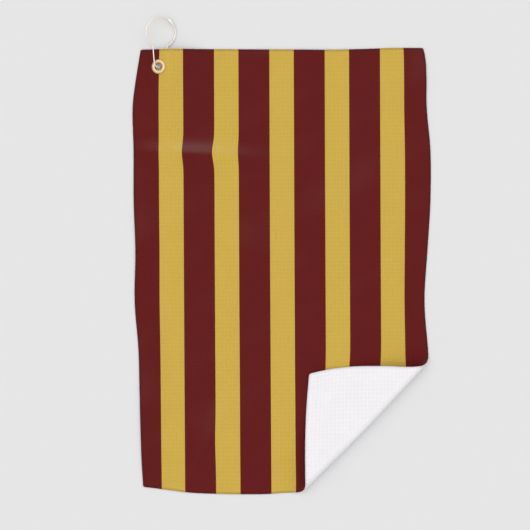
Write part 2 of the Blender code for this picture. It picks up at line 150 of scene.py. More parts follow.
# Where the cloth is pulled sideways: middle, half width, half length, distance to the right
PULLS = (
    ((-0.105, 0.164), 0.045, 0.016, -0.0034),
    ((0.115, -0.140), 0.060, 0.022, -0.0018),
    ((-0.088, -0.235), 0.020, 0.030, -0.0010),
)

# Grommet. It leans to the left, towards the ring's front leg.
GROMMET_LEAN = math.radians(19)
RING_OFFSET = Vector((0.0004, 0.0, -0.0005))  # from its centre to where the ring passes through
HOLE_RADIUS = 0.0051
BARREL_WALL = 0.0005
FLANGE_RADIUS = 0.010
WASHER_RADIUS = 0.0096
WASHER_ROUND = 0.0003  # of its rim
WASHER_NICK = 0.0001  # how far the rim's front corner is broken
WASHER_BEVEL = 0.0012  # how far in from the rim its flat back starts
METAL_SHEET = 0.00065
LIP_RADIUS = 0.0070  # of the barrel's rolled end
LIP_BEAD = 0.0004  # radius of its outer edge
LIP_SINK = 0.0001  # how far that hangs below the washer
LIP_TURN = 0.3  # angle at which its outer edge starts
DOME_HEIGHT = 0.0013  # of the front flange, over the cloth's face
DOME_FOOT = 0.0002
GAP = 0.0003  # between pieces that touch
FLAT_ROUND = 0.0125  # the cloth is flat this far each way from the grommet
LIFT_LEFT = 0.020  # from there it sinks to the table over these distances
LIFT_RIGHT = 0.060
LIFT_DOWN = 0.065
CLOTH_HOLE = 0.0068
HOLE_STEPS = 4  # grid steps from the grommet's middle to the hole in the cloth
ROUND_STEPS = 10  # and to where the grid is square again
TURNED_SHARP = math.radians(50)  # edges that turn more than this stay sharp on turned pieces
JOINED_SHARP = math.radians(38)  # and on the ring's wires

# Overlock threads
STITCH = 0.0014
PLY_TWIST = 0.0011  # one turn of a thread's two plies
LOOPER_RADIUS = 0.00025
NEEDLE_RADIUS = 0.00022
THREAD_SIDES = 5
CORNER_STEPS = 12  # round each corner
NEEDLE_LINE = 0.0022  # how far in from the edge the needle thread runs
CLOTH_INSET = 1.6 * LOOPER_RADIUS  # how far the cloth's edge lies inside the threads
THREAD_HEIGHT = 0.00054  # of a thread's middle over the cloth's middle surface
RIM_SHOWS = 0.00035  # how far the plain back thread stands out beyond the printed one

# Ring. Its own axes: X to its right, Y from the grommet to the round end, Z to its front.
WIRE = 0.0020
ROUND_RADIUS = 0.02085
NECK_RADIUS = 0.007
NECK_BELOW = 0.0007  # how far its end lies past the grommet's centre
LEG_SPLAY = math.radians(8)
SHOULDER_RADIUS = 0.004
WIRE_SIDES = 28

# Gate, on the right of the round end. Angles are taken round the centre of that end.
PIN_AT = math.radians(50)
LATCH_AT = math.radians(-25)
PIN_RADIUS = 0.0005
PIN_PLAY = 0.0001
# Section of the pin's domed head, out from its middle and up from the fork
PIN_HEAD = ((0.0, 0.00018), (0.00045, 0.000135), (0.000675, 0.00002))
KNUCKLE_RADIUS = 0.0016
KNUCKLE_HEIGHT = 0.0026
KNUCKLE_SOFT = 0.0003  # how far the fork's rims are rounded
CHEEK = 0.00045
EYE_RADIUS = 0.0014
EYE_LOW, EYE_HIGH = 0.00010, 0.00075
EYE_SOFT = 0.00012
FORK_LENGTH = 0.0042
FORK_WIRE = 0.0032  # how far from the pin the wire ends inside the fork
SLOT_LENGTH = 0.006
NECK_LENGTH = 0.0034
LAP_LENGTH = 0.0016
NOSE_SPARE = math.radians(6)  # how far the two wires run past the latch before they are cut
TIP_SPARE = math.radians(10)
ZONE_SPREAD = math.radians(16)  # how far the cut reaches to each side of the wire, seen from the pin
# How far out from the pin the cuts for the nose and the tip end, as shares of the way to the latch
NEAR_SHARE, FAR_SHARE = 0.4, 1.6

# Spring, round the pin beside the gate's eye
SPRING_WIRE = 0.00022
SPRING_RADIUS = 0.0009
SPRING_TURNS = 2.5
SPRING_STEPS = 32  # in a turn
SPRING_PITCH = 0.00025
SPRING_LOW = -0.00075
SPRING_TAIL = 0.0011

MAROON = (0.1236, 0.0078, 0.0072)
GOLD = (0.608, 0.412, 0.0675)
WHITE = (0.891, 0.873, 0.893)
DYE_WANDER = 0.0007  # width over which the edge of a stripe wanders
DYE_EDGE = 0.00012  # half the width over which its colour changes
# Colour, roughness and share of wear of each metal
METALS = {
    "polished_brass": ((0.66, 0.48, 0.275), 0.12, 0.9),
    "light_gold": ((0.86, 0.79, 0.705), 0.20, 0.3),
    "spring_steel": ((0.62, 0.60, 0.56), 0.25, 0.4),
}
TARNISH = (0.60, 0.50, 0.42)  # what is left of the metal's colour in its duller patches
FLOOR = (0.711, 0.710, 0.704)
FLOOR_HALF = 20
FLOOR_DROP = 0.0001  # below the towel, which rests on zero

SUN_STRENGTH = 0.4
SUN_ANGLE = math.radians(70)
SUN_FROM = Vector((-0.24, 0.44, 1.0))
# The room's brightness, by height above the horizon
SKY = ((0.0, 0.82), (0.12, 0.62), (0.35, 0.66), (0.65, 0.98), (1.0, 1.32))
SKY_BLUE = 1.01  # its blue, as a share of its red and green

# Detail of the materials: fineness of each noise, in waves a metre
DYE_NOISE = 1500
YARN_NOISE = 900
FIBRE_NOISE = 4200
PATCH_NOISE = 28
THREAD_NOISE = 3000
TARNISH_NOISE = 420
PEEL_NOISE = 2400
SCRATCH_NOISE = (6000.0, 700.0, 3500.0)
FLOOR_NOISE = 60
# how much each lightens and darkens the colour; for the weave, the cells and the plies this is painted
# shade: lighter on top of the yarns and plies, darker between them and on the cells' floors
FIBRE_SHADE = 0.22
PATCH_SHADE = 0.07
PAINTED_WEAVE_SHADE = 0.05
PAINTED_CELL_SHADE = 0.05
PAINTED_PLY_SHADE = 0.06
# and the heights of the bumps
FIBRE_BUMP = 0.00022
WEAVE_BUMP = 0.00006
FLUFF_BUMP = 0.00012
PLY_BUMP = 0.00007
SCRATCH_BUMP = 0.000012
PEEL_BUMP = 0.00002

# The view straight down, as wide as this on the table, with its middle this far from the cloth's
VIEW_WIDTH = 0.7303
VIEW_MIDDLE = (-0.0227, 0.0088)
VIEW_HEIGHT = 3.0
VIEW_END = 100  # how far the camera sees
LENS = 36 * VIEW_HEIGHT / VIEW_WIDTH  # millimetres, on Blender's 36 mm sensor

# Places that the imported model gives
LEFT_BULGE = 0.001  # how far its left edge lies outside the cut line
edge_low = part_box("edge_stitching")[0]
CLOTH_CENTRE = Vector((edge_low.x + LEFT_BULGE + WIDTH / 2, edge_low.y + LENGTH / 2, 0))
RING_HANG = Vector(joints["ring_roll"]["pos_m"])
GROMMET = RING_HANG - CLOTH_CENTRE - RING_OFFSET


# ---------------------------------------------------------------- numbers


def ease(t):
    """0 to 1 as t goes from 0 to 1, level at both ends."""
    t = np.clip(t, 0.0, 1.0)
    return t * t * (3 - 2 * t)


def curve(stations, at):
    """Reads the smooth curve through (place, value) stations, level beyond its ends."""
    places, values = np.array(stations, float).T
    slopes = np.gradient(values, places)
    at = np.clip(at, places[0], places[-1])
    part = np.clip(np.searchsorted(places, at) - 1, 0, len(places) - 2)
    span = places[part + 1] - places[part]
    t = (at - places[part]) / span
    low, high = values[part], values[part + 1]
    from_low = slopes[part] * span - high + low
    from_high = slopes[part + 1] * span - high + low
    return low + (high - low) * t + (1 - t) * t * ((1 - t) * from_low - t * from_high)


# ---------------------------------------------------------------- the cloth's lie

ALONG = (math.cos(FOLD_TURN), math.sin(FOLD_TURN))
ACROSS = (math.sin(FOLD_TURN), -math.cos(FOLD_TURN))
CORNER_S = WIDTH / 2 * ACROSS[0] - LENGTH / 2 * ACROSS[1] - FOLD_START


def past_fold(x, y):
    """How far a point is beyond the line where the corner leaves the table."""
    return x * ACROSS[0] + y * ACROSS[1] - FOLD_START


def slide(u, v):
    """Where a point of the cut cloth has moved to in its plane."""
    past = past_fold(u, v)
    lying = 1 - ease((past + FOLD_SPREAD) / FOLD_SPREAD)
    left = ease((-u - (WIDTH / 2 - EDGE_REACH)) / EDGE_REACH)
    right = ease((u - (WIDTH / 2 - EDGE_REACH)) / EDGE_REACH)
    x = u + curve(LEFT_EDGE, v) * left - curve(RIGHT_EDGE, v) * right
    x = x + curve(DRIFT, v) * (1 - left) * (1 - right) * (1 - ease(past / FOLD_SPREAD))
    for (mid_u, mid_v), half_u, half_v, distance in PULLS:
        inside = ((u - mid_u) / half_u) ** 2 + ((v - mid_v) / half_v) ** 2
        x = x + distance * np.exp(-inside) * (1 - left) * lying
    bottom = ease((-v - (LENGTH / 2 - END_REACH)) / END_REACH) * lying
    top = ease((v - (LENGTH / 2 - END_REACH)) / END_REACH)
    y = v + curve(BOTTOM_EDGE, u) * bottom + curve(TOP_EDGE, u) * top
    return x, y


def corner_lift(x, y):
    """Height of the cloth's middle surface where the ring's back leg holds it up."""
    p = x - GROMMET.x
    q = y - GROMMET.y
    height = GROMMET.z + np.clip(p, -FLAT_ROUND, FLAT_ROUND) * math.tan(GROMMET_LEAN) - THICK / 2
    fade = 1 - ease((np.abs(p) - FLAT_ROUND) / np.where(p > 0, LIFT_RIGHT, LIFT_LEFT))
    fade = fade * (1 - ease((-q - FLAT_ROUND) / LIFT_DOWN))
    return height * fade


def swell_height(x, y):
    """The lying cloth's soft swells, which keep clear of the grommet's corner and of the fold."""
    height = 0.0
    for across, along, phase in RIPPLE_WAVES:
        height = height + RIPPLE * (1 + np.sin(x * across + y * along + phase))
    for (mid_x, mid_y), turn, half_long, half_wide, rise_by in SWELLS:
        p = (x - mid_x) * math.cos(turn) + (y - mid_y) * math.sin(turn)
        q = (y - mid_y) * math.cos(turn) - (x - mid_x) * math.sin(turn)
        height = height + rise_by * np.exp(-((p / half_long) ** 2) - (q / half_wide) ** 2)
    clear = ease((np.hypot(x - GROMMET.x, y - GROMMET.y) - GROMMET_CLEAR) / GROMMET_SPREAD)
    from_tip = -past_fold(x, y) - (CORNER_S - 2 * FOLD_RADIUS)
    return height * clear * ease((from_tip + FLAP_CLEAR) / FLAP_SPREAD)


def fold_section(s):
    """The turned corner in section, s along the cloth from where it leaves the table: how far
    that has gone across the fold line and how high it is."""
    curl = FOLD_RADIUS * (math.pi + FOLD_DROP)
    top = FOLD_RADIUS * (1 + math.cos(FOLD_DROP))
    drop = top - FLAP_REST - FLARE_RADIUS * (1 - math.cos(FOLD_DROP))
    slope = drop / math.sin(FOLD_DROP)
    flare = FLARE_RADIUS * FOLD_DROP
    turned = np.clip(s, 0, curl) / FOLD_RADIUS
    sloped = np.clip(s - curl, 0, slope)
    left = FOLD_DROP - np.clip(s - curl - slope, 0, flare) / FLARE_RADIUS
    across = FOLD_RADIUS * np.sin(turned) - sloped * math.cos(FOLD_DROP)
    across = across - FLARE_RADIUS * (math.sin(FOLD_DROP) - np.sin(left))
    across = across - np.maximum(s - curl - slope - flare, 0)
    height = FOLD_RADIUS * (1 - np.cos(turned)) - sloped * math.sin(FOLD_DROP)
    height = height - FLARE_RADIUS * (np.cos(left) - math.cos(FOLD_DROP))
    return across, height


def rise(x, y):
    """Where a point of the cloth's plane comes to lie, on its middle surface."""
    s = past_fold(x, y)
    down = x * ALONG[0] + y * ALONG[1]
    beyond = np.maximum(s, 0)
    across, height = fold_section(beyond)
    far = beyond / CORNER_S
    reach = FOLD_START + beyond
    low_end = (-LENGTH / 2 - ACROSS[1] * reach) / ALONG[1]
    high_end = (WIDTH / 2 - ACROSS[0] * reach) / ALONG[0]
    share = np.clip((down - low_end) / np.maximum(high_end - low_end, LEAST_SPAN), 0, 1)
    down = down + curve(BOTTOM_SLIP, far) * (1 - share) + curve(RIGHT_SLIP, far) * share
    across = across + curve(BOTTOM_PUSH, far) * (1 - share) + curve(RIGHT_PUSH, far) * share
    bow = FOLD_BULGE * 4 * share * (1 - share) * (1 - far)
    across = across + np.minimum(s, 0) + bow * ease((s + FOLD_SPREAD) / FOLD_SPREAD)
    height = height + TIP_LIFT * ease((s - CORNER_S + TIP_REACH) / TIP_REACH)
    height = height + np.where(s < 0, corner_lift(x, y) + swell_height(x, y), 0)
    place_x = ALONG[0] * down + ACROSS[0] * (FOLD_START + across)
    place_y = ALONG[1] * down + ACROSS[1] * (FOLD_START + across)
    return np.stack((place_x, place_y, THICK / 2 + height), axis=-1)


def on_cloth(x, y, height):
    """A point this far out from the middle surface, on the printed side if height is above 0."""
    step = 0.0002
    side = rise(x + step, y) - rise(x - step, y)
    ahead = rise(x, y + step) - rise(x, y - step)
    normal = np.cross(side, ahead)
    normal /= np.linalg.norm(normal, axis=-1, keepdims=True)
    return rise(x, y) + normal * np.asarray(height)[..., None] + np.array(CLOTH_CENTRE)


# ---------------------------------------------------------------- meshes


def add_object(name, mesh):
    ob = bpy.data.objects.new(name, mesh)
    bpy.context.scene.collection.objects.link(ob)
    return ob


def finish_piece(piece, body, node):
    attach(piece, body)
    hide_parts(node)


def smooth_mesh(name, verts, faces, material):
    mesh = bpy.data.meshes.new(name)
    mesh.from_pydata(verts, [], faces)
    mesh.materials.append(material)
    mesh.shade_smooth()
    return mesh


def set_points(mesh, name, kind, values):
    """Stores a value for each point of a mesh, for its material to read."""
    attribute = mesh.attributes.new(name, kind, "POINT")
    field = "vector" if kind == "FLOAT_VECTOR" else "value"
    attribute.data.foreach_set(field, np.asarray(values, np.float32).ravel())


def grid_lines(half):
    """Places across the cut cloth: three in each waffle cell, and the two edges."""
    cells = range(-math.ceil(half / CELL), math.ceil(half / CELL) + 1)
    lines = [CELL * (cell + part) for cell in cells for part in (0, RIDGE_FOOT, 1 - RIDGE_FOOT)]
    inside = [at for at in lines if abs(at) < half - LAST_LINE]
    return np.array([-half, *inside, half])


def pit(at):
    """0 on the crest of a waffle ridge, 1 from its foot on."""
    part = np.abs(at / CELL - np.round(at / CELL))
    return ease(part / RIDGE_FOOT)


def round_corners(u, v, half_u, half_v):
    """Bends a rectangle's corners round, and the grid inside them."""
    a = np.abs(u) - (half_u - CORNER_RADIUS)
    b = np.abs(v) - (half_v - CORNER_RADIUS)
    inside = (a > 0) & (b > 0)
    scale = np.where(inside, np.maximum(a, b) / np.maximum(np.hypot(a, b), TINY), 1)
    round_u = np.sign(u) * (half_u - CORNER_RADIUS + a * scale)
    round_v = np.sign(v) * (half_v - CORNER_RADIUS + b * scale)
    return np.where(inside, round_u, u), np.where(inside, round_v, v)


def open_hole(u, v, x, y):
    """Turns the square grid round the grommet into circles. Returns the moved points and how many
    grid steps each is from the grommet."""
    nearest = np.argmin((x - GROMMET.x) ** 2 + (y - GROMMET.y) ** 2)
    row, column = np.unravel_index(nearest, x.shape)
    i, j = np.indices(x.shape)
    steps = np.maximum(np.abs(i - row), np.abs(j - column))
    turn = np.arctan2(j - column, i - row)
    radius = CLOTH_HOLE + (steps - HOLE_STEPS) * CELL / 3
    round_x = GROMMET.x + radius * np.cos(turn) * math.cos(GROMMET_LEAN)
    round_y = GROMMET.y + radius * np.sin(turn)
    square = ease((steps - HOLE_STEPS) / (ROUND_STEPS - HOLE_STEPS))
    shift_x = (round_x - x) * (1 - square)
    shift_y = (round_y - y) * (1 - square)
    return u + shift_x, v + shift_y, x + shift_x, y + shift_y, steps


def cloth_half(u, v, half_u, half_v):
    """Half the cloth's thickness: full on the ridges, less in the cells, the seam and the grommet."""
    from_edge = np.minimum(half_u - np.abs(u), half_v - np.abs(v))
    half = THICK / 2 - CELL_DEPTH * pit(u) * (CROSS_DIP + (1 - CROSS_DIP) * pit(v))
    x, y = slide(u, v)
    from_grommet = np.hypot(x - GROMMET.x, y - GROMMET.y)
    clamped = 1 - ease((from_grommet - FLANGE_RADIUS) / CLAMPED_SPREAD)
    half = half + (CLAMPED_HALF - half) * clamped
    seam = 1 - ease((from_edge - SEAM_WIDTH) / SEAM_SPREAD + 0.5)
    return half + (SEAM_HALF - half) * seam


def painted_slope_sheen(x, y):
    """Share of white painted on as sheen where the lying cloth falls away towards the top, so tilts
    towards the light.
    """
    step = 0.0005
    falls = (rise(x, y - step) - rise(x, y + step))[..., 2] / (2 * step)
    return PAINTED_SHEEN * np.clip(falls, 0, 1) * (past_fold(x, y) < 0)


def make_cloth(material):
    """One closed sheet: the printed side, the plain side, and the walls round the cut edge and the
    grommet's hole."""
    half_u = WIDTH / 2 - CLOTH_INSET
    half_v = LENGTH / 2 - CLOTH_INSET
    u, v = np.meshgrid(grid_lines(half_u), grid_lines(half_v), indexing="ij")
    u, v = round_corners(u, v, half_u, half_v)
    x, y = slide(u, v)
    u, v, x, y, steps = open_hole(u, v, x, y)
    half = cloth_half(u, v, half_u, half_v)
    rows, columns = u.shape
    count = rows * columns
    kept = steps >= HOLE_STEPS
    verts = np.stack((on_cloth(x, y, half), on_cloth(x, y, -half))).reshape(-1, 3)
    index = np.arange(count).reshape(rows, columns)
    a, b, c, d = index[:-1, :-1], index[1:, :-1], index[1:, 1:], index[:-1, 1:]
    whole = kept[:-1, :-1] & kept[1:, :-1] & kept[1:, 1:] & kept[:-1, 1:]
    front = np.stack((a, b, c, d), axis=-1)[whole]
    back = front[:, ::-1] + count
    # Edges of the printed side that only one face has are where a wall goes.
    edges = np.concatenate([front[:, [k, (k + 1) % 4]] for k in range(4)])
    key = edges.min(axis=1) * count + edges.max(axis=1)
    _, first, times = np.unique(key, return_index=True, return_counts=True)
    rim = edges[first[times == 1]]
    walls = np.stack((rim[:, 1], rim[:, 0], rim[:, 0] + count, rim[:, 1] + count), axis=-1)
    faces = np.concatenate([front, back, walls])
    used, renumbered = np.unique(faces, return_inverse=True)
    faces = renumbered.reshape(-1, 4).tolist()
    mesh = smooth_mesh("cloth", verts[used].tolist(), faces, material)
    flat = np.stack((u.ravel(), v.ravel(), np.zeros(count)), axis=-1)
    set_points(mesh, "flat", "FLOAT_VECTOR", np.concatenate([flat, flat])[used])
    set_points(mesh, "side", "FLOAT", np.repeat((1.0, -1.0), count)[used])
    # the share of painted sheen at each point, the same on both sides
    set_points(mesh, "slope_sheen_painted", "FLOAT", np.tile(painted_slope_sheen(x, y).ravel(), 2)[used])
    cloth = add_object("cloth", mesh)
    finish_piece(cloth, "towel", "towel_cloth")
    return cloth


def distance_along(path):
    """How far along a path each of its points is."""
    return np.r_[0, np.cumsum(np.linalg.norm(np.diff(path, axis=0), axis=1))]


def sweep(path, radius, sides, closed=False):
    """Vertices and faces of a round tube along a path, with the distance along it and the angle
    round it of each vertex."""
    path = np.asarray(path, float)
    if closed:
        ahead = np.roll(path, -1, axis=0) - np.roll(path, 1, axis=0)
    else:
        ahead = np.gradient(path, axis=0)
    ahead /= np.linalg.norm(ahead, axis=1, keepdims=True)
    side = np.empty_like(path)
    last = np.cross(ahead[0], (0.31, 0.47, 0.83))  # no path starts in this direction
    for k, heading in enumerate(ahead):
        last = last - heading * last.dot(heading)
        last = last / math.sqrt(last.dot(last))
        side[k] = last
    up = np.cross(ahead, side)
    turn = np.arange(sides) * math.tau / sides
    out = side[:, None] * np.cos(turn)[None, :, None] + up[:, None] * np.sin(turn)[None, :, None]
    verts = (path[:, None] + radius * out).reshape(-1, 3)
    rings = len(path)
    first = np.arange(rings if closed else rings - 1)
    ring, step = np.meshgrid(first, np.arange(sides), indexing="ij")
    beside = (step + 1) % sides
    here = ring * sides
    after = (ring + 1) % rings * sides
    corners = (here + step, here + beside, after + beside, after + step)
    faces = np.stack(corners, axis=-1).reshape(-1, 4).tolist()
    if not closed:
        faces.append(list(range(sides))[::-1])
        faces.append(list(range((rings - 1) * sides, rings * sides)))
    length = np.repeat(distance_along(path), sides)
    where = np.stack((length, np.tile(turn, rings), 0 * length), axis=-1)
    return verts, faces, where


# ---------------------------------------------------------------- overlock


def outline():
    """Points and inward directions round the cut cloth, with their distance along it."""
    points, inward = [], []
    for quarter, (sx, sy) in enumerate(((1, 1), (-1, 1), (-1, -1), (1, -1))):
        middle = np.array((sx * (WIDTH / 2 - CORNER_RADIUS), sy * (LENGTH / 2 - CORNER_RADIUS)))
        for step in range(CORNER_STEPS + 1):
            angle = math.radians(90 * (quarter + step / CORNER_STEPS))
            out = np.array((math.cos(angle), math.sin(angle)))
            points.append(middle + CORNER_RADIUS * out)
            inward.append(-out)
    points.append(points[0])
    inward.append(inward[0])
    points = np.array(points)
    return distance_along(points), points, np.array(inward)


def thread_path(pattern):
    """The middle line of a thread that repeats this pattern of (part of a stitch, distance in from
    the edge, height) once a stitch round the cloth, as its u, v and height."""
    along, points, inward = outline()
    stitches = round(along[-1] / STITCH)
    pattern = np.array(pattern)
    part = (np.arange(stitches)[:, None] + pattern[:, 0]).ravel()
    at = part / stitches * along[-1]
    inset = np.tile(pattern[:, 1], stitches)
    height = np.tile(pattern[:, 2], stitches)
    u = np.interp(at, along, points[:, 0]) + np.interp(at, along, inward[:, 0]) * inset
    v = np.interp(at, along, points[:, 1]) + np.interp(at, along, inward[:, 1]) * inset
    return u, v, height


def make_thread(name, radius, pattern, material):
    """A thread that runs all the way round the cloth's edge."""
    u, v, height = thread_path(pattern)
    path = on_cloth(*slide(u, v), height)
    verts, faces, where = sweep(path, radius, THREAD_SIDES, closed=True)
    mesh = smooth_mesh(name, verts.tolist(), faces, material)
    flat = np.stack((u, v, 0 * u), axis=-1)
    set_points(mesh, "flat", "FLOAT_VECTOR", np.repeat(flat, THREAD_SIDES, axis=0))
    set_points(mesh, "side", "FLOAT", np.repeat(height / THREAD_HEIGHT, THREAD_SIDES))
    set_points(mesh, "thread", "FLOAT_VECTOR", where)
    piece = add_object(name, mesh)
    finish_piece(piece, "towel", "edge_stitching")
    return piece


def make_overlock(material):
    """The three threads of an overlocked edge: a looper thread on each side that runs out to the
    edge and back once a stitch, and the needle thread that holds both down along the seam."""
    top = THREAD_HEIGHT
    seam = NEEDLE_LINE
    rim = LOOPER_RADIUS
    upper = (
        (0.00, seam, 0.6 * top), (0.11, 0.75 * seam, top), (0.24, 0.35 * seam, top),
        (0.34, rim, 0.85 * top), (0.50, 0.3 * rim, 0.25 * top), (0.66, rim, 0.85 * top),
        (0.76, 0.35 * seam, top), (0.89, 0.75 * seam, top),
    )
    lower = sorted(((part + 0.5) % 1, inset - RIM_SHOWS, -height) for part, inset, height in upper)
    needle = (
        (0.00, seam, 0.0), (0.14, seam, 0.9 * top), (0.38, seam, 1.25 * top),
        (0.62, seam, 1.25 * top), (0.86, seam, 0.9 * top),
    )
    return (
        make_thread("overlock_upper_thread", LOOPER_RADIUS, upper, material),
        make_thread("overlock_lower_thread", LOOPER_RADIUS, lower, material),
        make_thread("overlock_needle_thread", NEEDLE_RADIUS, needle, material),
    )


# ---------------------------------------------------------------- grommet


def arc(centre, radius, start, end, steps):
    x, y = centre[:2]
    turns = [start + (end - start) * i / steps for i in range(steps + 1)]
    return [Vector((x + radius * math.cos(t), y + radius * math.sin(t), 0)) for t in turns]


def turned(name, profile, node, material, steps=96):
    """A ring turned from a closed profile of (radius, height) points, which stands for a node."""
    place = Matrix.Translation(CLOTH_CENTRE + GROMMET) @ Matrix.Rotation(-GROMMET_LEAN, 4, "Y")
    verts, faces = [], []
    count = len(profile)
    for i in range(steps):
        turn = math.tau * i / steps
        for radius, height in profile:
            verts.append(place @ Vector((radius * math.cos(turn), radius * math.sin(turn), height)))
        for k in range(count):
            j, m = (i + 1) % steps, (k + 1) % count
            faces.append((i * count + k, j * count + k, j * count + m, i * count + m))
    mesh = smooth_mesh(name, verts, faces, material)
    mesh.set_sharp_from_angle(angle=TURNED_SHARP)
    finish_piece(add_object(name, mesh), "towel", node)


def make_grommet(material):
    """The domed front, whose barrel goes through the cloth and is rolled over the washer behind."""
    face = THICK / 2 + GAP
    washer_back = face + METAL_SHEET
    lip = washer_back + GAP
    barrel = HOLE_RADIUS + BARREL_WALL
    quarter = math.pi / 2
    half_flange = (FLANGE_RADIUS - HOLE_RADIUS) / 2
    dome = [
        (HOLE_RADIUS + half_flange * (1 + p.x), face + DOME_FOOT + (DOME_HEIGHT - DOME_FOOT) * p.y)
        for p in arc((0, 0), 1, math.pi, 0, 24)
    ]
    roll = arc((LIP_RADIUS - LIP_BEAD, -lip - LIP_SINK), LIP_BEAD, LIP_TURN, -quarter, 5)
    roll += arc((barrel, -lip), BARREL_WALL, -quarter, -math.pi, 4)
    front = [*dome, (FLANGE_RADIUS - DOME_FOOT, face), (barrel, face), (barrel, -lip)]
    front += [(p.x, p.y) for p in roll]
    turned("grommet_front", front[::-1], "grommet_eyelet", material)
    rim = arc((WASHER_RADIUS - WASHER_ROUND, -face - WASHER_ROUND), WASHER_ROUND, 0, -quarter, 4)
    back = [(barrel + GAP, -face), (WASHER_RADIUS - WASHER_NICK, -face)]
    back += [(p.x, p.y) for p in rim]
    back += [(WASHER_RADIUS - WASHER_BEVEL, -washer_back), (barrel + GAP, -washer_back)]
    turned("grommet_back", back, "grommet_washer", material)


# ---------------------------------------------------------------- ring

ring_y = Vector(joints["ring_roll"]["axis"]).normalized()
ring_z = -Vector(joints["gate_hinge"]["axis"]).normalized()
ring_axes = Matrix((ring_y.cross(ring_z), ring_y, ring_z)).transposed().to_4x4()
RING = Matrix.Translation(RING_HANG) @ ring_axes
PIN = RING.inverted() @ Vector(joints["gate_hinge"]["pos_m"])
ROUND_CENTRE = Vector((0, PIN.y - ROUND_RADIUS * math.sin(PIN_AT), 0))


def on_round(angle):
    return ROUND_CENTRE + ROUND_RADIUS * Vector((math.cos(angle), math.sin(angle), 0))


def right_leg():
    """The ring's middle line from its lowest point to where it joins the round end on the right,
    and the angle of that place round the end."""
    points = arc((0, NECK_RADIUS - NECK_BELOW), NECK_RADIUS, -math.pi / 2, -LEG_SPLAY, 16)
    up = Vector((math.sin(LEG_SPLAY), math.cos(LEG_SPLAY), 0))
    out = Vector((up.y, -up.x, 0))
    # The shoulder's arc touches the leg from outside and the round end from outside.
    start = points[-1] + out * SHOULDER_RADIUS - ROUND_CENTRE
    reach = ROUND_RADIUS + SHOULDER_RADIUS
    middle = start.dot(up)
    length = -middle - math.sqrt(middle**2 - start.length_squared + reach**2)
    straight = [points[-1] + up * length * part / 6 for part in range(1, 6)]
    shoulder = points[-1] + up * length + out * SHOULDER_RADIUS
    to_round = shoulder - ROUND_CENTRE
    angle = math.atan2(to_round.y, to_round.x)
    points += straight
    points += arc(shoulder, SHOULDER_RADIUS, math.pi - LEG_SPLAY, angle + math.pi, 8)
    return points, angle


def ring_object(name, verts, faces, material):
    """A smooth object drawn in the ring's axes, in its place."""
    return add_object(name, smooth_mesh(name, [RING @ Vector(v) for v in verts], faces, material))


def wire_object(name, path, material):
    verts, faces, _ = sweep(path, WIRE / 2, WIRE_SIDES)
    ob = ring_object(name, verts.tolist(), faces, material)
    bm = bmesh.new()
    bm.from_mesh(ob.data)
    bmesh.ops.recalc_face_normals(bm, faces=bm.faces)
    bm.to_mesh(ob.data)
    bm.free()
    return ob


def plate(name, points, low, high, soften=0.0):
    """A flat plate of this outline in the ring's plane, between two heights, with softened rims."""
    bm = bmesh.new()
    face = bm.faces.new([bm.verts.new((p.x, p.y, low)) for p in points])
    grown = bmesh.ops.extrude_face_region(bm, geom=[face])["geom"]
    upper = [part for part in grown if isinstance(part, bmesh.types.BMVert)]
    bmesh.ops.translate(bm, vec=(0, 0, high - low), verts=upper)
    bmesh.ops.recalc_face_normals(bm, faces=bm.faces)
    if soften:
        rims = [edge for edge in bm.edges if edge.verts[0].co.z == edge.verts[1].co.z]
        bmesh.ops.bevel(bm, geom=rims, offset=soften, segments=3, profile=0.5, affect="EDGES")
    bm.transform(RING)
    mesh = bpy.data.meshes.new(name)
    bm.to_mesh(mesh)
    bm.free()
    return add_object(name, mesh)


def rod(name, centre, radius, low, high, steps=48):
    return plate(name, arc(centre, radius, 0, math.tau * (1 - 1 / steps), steps - 1), low, high)


def tab(centre, ahead, length, half_width, steps=20):
    """An outline with a round end about the centre, drawn out this far ahead."""
    turn = math.atan2(ahead.y, ahead.x)
    side = Vector((-ahead.y, ahead.x, 0)) * half_width
    round_end = arc(centre, half_width, turn + math.pi / 2, turn + 3 * math.pi / 2, steps)
    return round_end + [centre + ahead * length - side, centre + ahead * length + side]


def combine(piece, *steps):
    """Adds or cuts away other objects, which are used up, and leaves the piece a plain mesh."""
    for other, operation in steps:
        mod = piece.modifiers.new(other.name, "BOOLEAN")
        mod.operation = operation
        mod.object = other
    bpy.context.view_layer.update()
    evaluated = piece.evaluated_get(bpy.context.evaluated_depsgraph_get())
    mesh = bpy.data.meshes.new_from_object(evaluated)
    piece.modifiers.clear()
    piece.data = mesh
    for other, _ in steps:
        bpy.data.objects.remove(other)
    mesh.shade_smooth()
    mesh.set_sharp_from_angle(angle=JOINED_SHARP)


def latch_zone(clear, beyond):
    """Outline of what lies before the gate's tip, or beyond it. The edge where they meet is struck
    from the pin, grown by this clearance, and steps along the wire's middle to lap behind the nose.
    The other side of the outline is at the share `beyond` of the way out from the pin."""
    pin = on_round(PIN_AT)
    latch = on_round(LATCH_AT)
    short = (latch - pin).length + clear
    long = short + LAP_LENGTH
    heading = math.atan2(latch.y - pin.y, latch.x - pin.x)
    step_radius = ROUND_RADIUS + (clear - GAP / 2)

    def crossing(reach):
        """The angle about the pin at which this reach meets the step's circle."""
        to_centre = ROUND_CENTRE - pin
        apart = to_centre.length
        bend = math.acos((apart**2 + reach**2 - step_radius**2) / (2 * apart * reach))
        return math.atan2(to_centre.y, to_centre.x) + bend

    outer = arc(pin, short, heading + ZONE_SPREAD, crossing(short), 12)
    inner = arc(pin, long, crossing(long), heading - ZONE_SPREAD, 12)
    return outer + inner + [pin + (inner[-1] - pin) * beyond, pin + (outer[0] - pin) * beyond]


